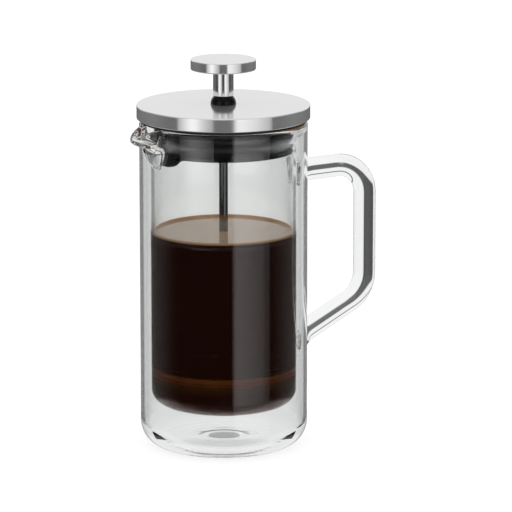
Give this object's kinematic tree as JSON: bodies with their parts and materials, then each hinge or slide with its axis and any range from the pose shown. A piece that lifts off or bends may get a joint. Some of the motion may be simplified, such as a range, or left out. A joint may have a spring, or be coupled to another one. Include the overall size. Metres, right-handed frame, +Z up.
{
  "type": "french press",
  "caption": "Double-walled glass coffee press with a bent glass handle, pouring lip, steel lid with black strainer skirt and a sliding plunger with mesh filter.",
  "frame": {"origin": "the vessel's axis at the table, in the plane of the base ring", "axes": "+Z up along the vessel's axis, +X towards the handle, -X towards the spout"},
  "size_m": [0.1522, 0.0974, 0.2213],
  "materials": {
    "glass": "clear fire-polished borosilicate",
    "satin_steel": "satin, concentric grain",
    "bright_steel": "polished",
    "steel_mesh": "fine woven wire",
    "black_plastic": "glossy moulded",
    "guide_plastic": "semi-gloss moulded",
    "black_silicone": "matt silicone",
    "clear_silicone": "translucent silicone"
  },
  "bodies": {
    "vessel": {"inner_beaker": "glass", "beaker_mouth": "glass", "outer_jacket": "glass", "handle": "glass", "vent_plug": "clear_silicone"},
    "guide": {"rod_guide": "guide_plastic", "guide_washer": "bright_steel", "guide_nut": "bright_steel"},
    "lid": {"lid_cap": "satin_steel", "lid_insert": "black_plastic", "lid_gasket": "black_silicone"},
    "knob": {"knob_disc": "satin_steel", "knob_stem": "bright_steel"},
    "rod": {"plunger_rod": "bright_steel", "rod_collar": "bright_steel"},
    "filter": {"spring_plate": "bright_steel", "filter_spring": "bright_steel", "mesh_screen": "steel_mesh", "mesh_eyelet": "bright_steel"},
    "hub": {"cross_plate": "bright_steel", "cross_hub": "bright_steel"}
  },
  "joints": [
    {"name": "lid_lift", "type": "slide", "parent": "vessel", "child": "guide", "axis": [0, 0, 1], "range_m": [0, 0.18]},
    {"name": "lid_turn", "type": "hinge", "parent": "guide", "child": "lid", "pos_m": [0, 0, 0.1912], "axis": [0, 0, 1], "continuous": true},
    {"name": "plunger_slide", "type": "slide", "parent": "guide", "child": "knob", "axis": [0, 0, 1], "range_m": [0, 0.112]},
    {"name": "plunger_turn", "type": "hinge", "parent": "knob", "child": "rod", "pos_m": [0, 0, 0.2056], "axis": [0, 0, 1], "continuous": true},
    {"name": "filter_drop", "type": "slide", "parent": "rod", "child": "filter", "axis": [0, 0, -1], "range_m": [0, 0.00321]},
    {"name": "hub_unscrew", "type": "hinge", "parent": "filter", "child": "hub", "pos_m": [0, 0, 0.038], "axis": [0, 0, -1], "range_deg": [0, 1440]}
  ],
  "couplings": [
    {"joint": "filter_drop", "follows": "hub_unscrew", "m_per_rad": 0.00012732}
  ]
}
